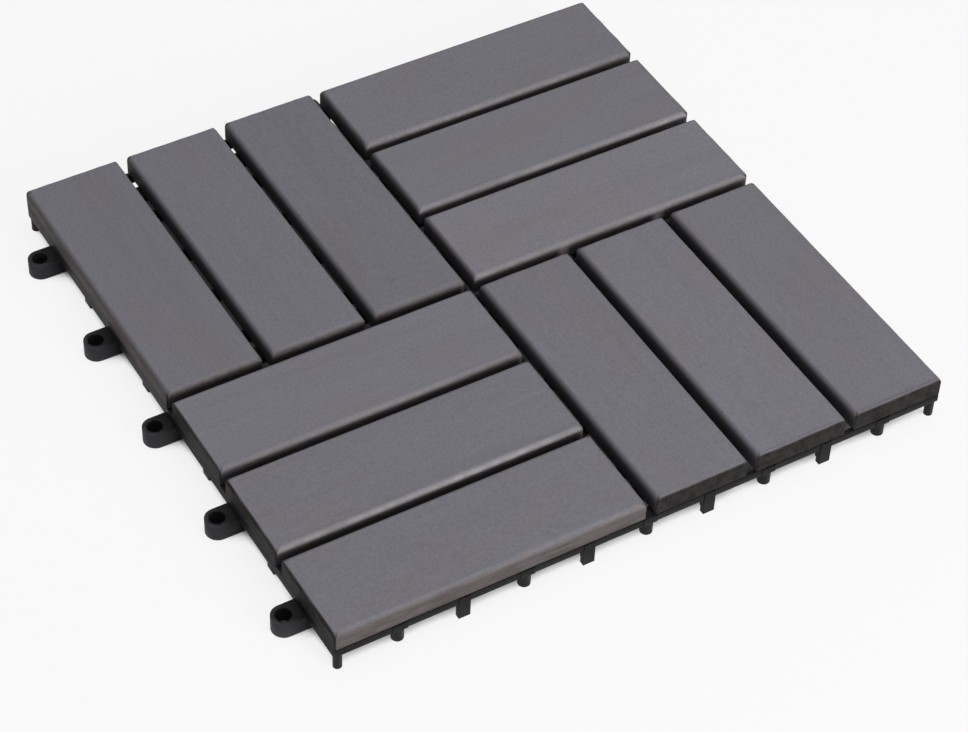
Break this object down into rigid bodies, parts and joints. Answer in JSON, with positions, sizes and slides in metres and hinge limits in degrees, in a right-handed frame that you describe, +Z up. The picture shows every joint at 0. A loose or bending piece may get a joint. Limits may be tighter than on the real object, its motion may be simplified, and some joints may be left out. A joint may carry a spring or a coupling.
{
  "type": "interlocking deck tile",
  "caption": "Square interlocking floor tile with grey timber slats in four alternating quadrants on a black moulded open grid with pins and loops at its edges.",
  "frame": {"origin": "middle of the 300 mm laying module, on the ground under the middle foot", "axes": "+X to the right along the front edge, +Y towards the back edge, +Z up; loops stand out at -X and +Y, pins hang under +X and -Y"},
  "size_m": [0.3084, 0.3084, 0.022],
  "materials": {
    "slat_timber": "matt grey stain",
    "base_plastic": "matt black moulding",
    "screw_steel": "dull zinc"
  },
  "bodies": {
    "root": {"base_grid": "base_plastic", "screws": "screw_steel", "back_left_slat_1": "slat_timber", "back_left_slat_2": "slat_timber", "back_left_slat_3": "slat_timber", "front_left_slat_1": "slat_timber", "front_left_slat_2": "slat_timber", "front_left_slat_3": "slat_timber", "front_right_slat_1": "slat_timber", "front_right_slat_2": "slat_timber", "front_right_slat_3": "slat_timber", "back_right_slat_1": "slat_timber", "back_right_slat_2": "slat_timber", "back_right_slat_3": "slat_timber"}
  },
  "joints": []
}
